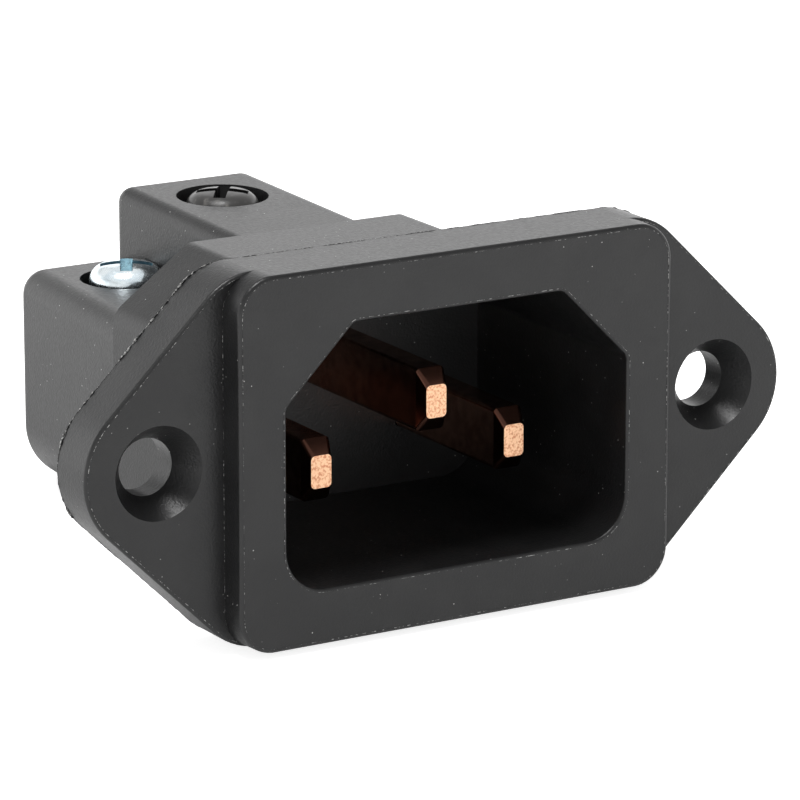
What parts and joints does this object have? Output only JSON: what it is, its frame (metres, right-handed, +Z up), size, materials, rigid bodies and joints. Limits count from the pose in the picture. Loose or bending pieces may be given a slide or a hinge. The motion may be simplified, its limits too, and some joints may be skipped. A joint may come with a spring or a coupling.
{
  "type": "mains panel inlet",
  "caption": "Flush panel inlet for a mains lead: chamfered cavity with flat contact blades, a flange with fixing ears, and screw clamp terminals behind.",
  "frame": {"origin": "midway between the two fixing holes, on the flange's rear face, which lies against the panel", "axes": "-Y out of the mouth towards the connector, +Y into the equipment, +Z up towards the earth contact, X across, through both fixing holes"},
  "size_m": [0.05, 0.0354, 0.0235],
  "materials": {
    "black_moulding": "satin",
    "copper": "bare copper",
    "plated_strip": "zinc plated",
    "zinc_screw": "clear zinc",
    "black_screw": "black oxide"
  },
  "bodies": {
    "shell": {"housing": "black_moulding", "line_pin": "copper", "line_clamp_box": "plated_strip", "neutral_pin": "copper", "neutral_clamp_box": "plated_strip", "earth_pin": "copper", "earth_clamp_box": "plated_strip"},
    "line_plate": {"line_pressure_plate": "plated_strip"},
    "line_driver": {"line_screw": "zinc_screw"},
    "neutral_plate": {"neutral_pressure_plate": "plated_strip"},
    "neutral_driver": {"neutral_screw": "zinc_screw"},
    "earth_plate": {"earth_pressure_plate": "plated_strip"},
    "earth_driver": {"earth_screw": "black_screw"}
  },
  "joints": [
    {"name": "line_clamp_travel", "type": "slide", "parent": "shell", "child": "line_plate", "axis": [0, 0, 1], "range_m": [-0.002, 0]},
    {"name": "line_screw_turn", "type": "hinge", "parent": "line_plate", "child": "line_driver", "pos_m": [-0.0072, 0.02445, -0.00085], "axis": [0, 0, 1], "range_deg": [-1440, 0]},
    {"name": "neutral_clamp_travel", "type": "slide", "parent": "shell", "child": "neutral_plate", "axis": [0, 0, 1], "range_m": [-0.002, 0]},
    {"name": "neutral_screw_turn", "type": "hinge", "parent": "neutral_plate", "child": "neutral_driver", "pos_m": [0.0072, 0.02445, -0.00085], "axis": [0, 0, 1], "range_deg": [-1440, 0]},
    {"name": "earth_clamp_travel", "type": "slide", "parent": "shell", "child": "earth_plate", "axis": [0, 0, 1], "range_m": [-0.002, 0]},
    {"name": "earth_screw_turn", "type": "hinge", "parent": "earth_plate", "child": "earth_driver", "pos_m": [0, 0.02445, 0.00315], "axis": [0, 0, 1], "range_deg": [-1440, 0]}
  ],
  "couplings": [
    {"joint": "line_screw_turn", "follows": "line_clamp_travel", "rad_per_m": 12566},
    {"joint": "neutral_screw_turn", "follows": "neutral_clamp_travel", "rad_per_m": 12566},
    {"joint": "earth_screw_turn", "follows": "earth_clamp_travel", "rad_per_m": 12566}
  ]
}
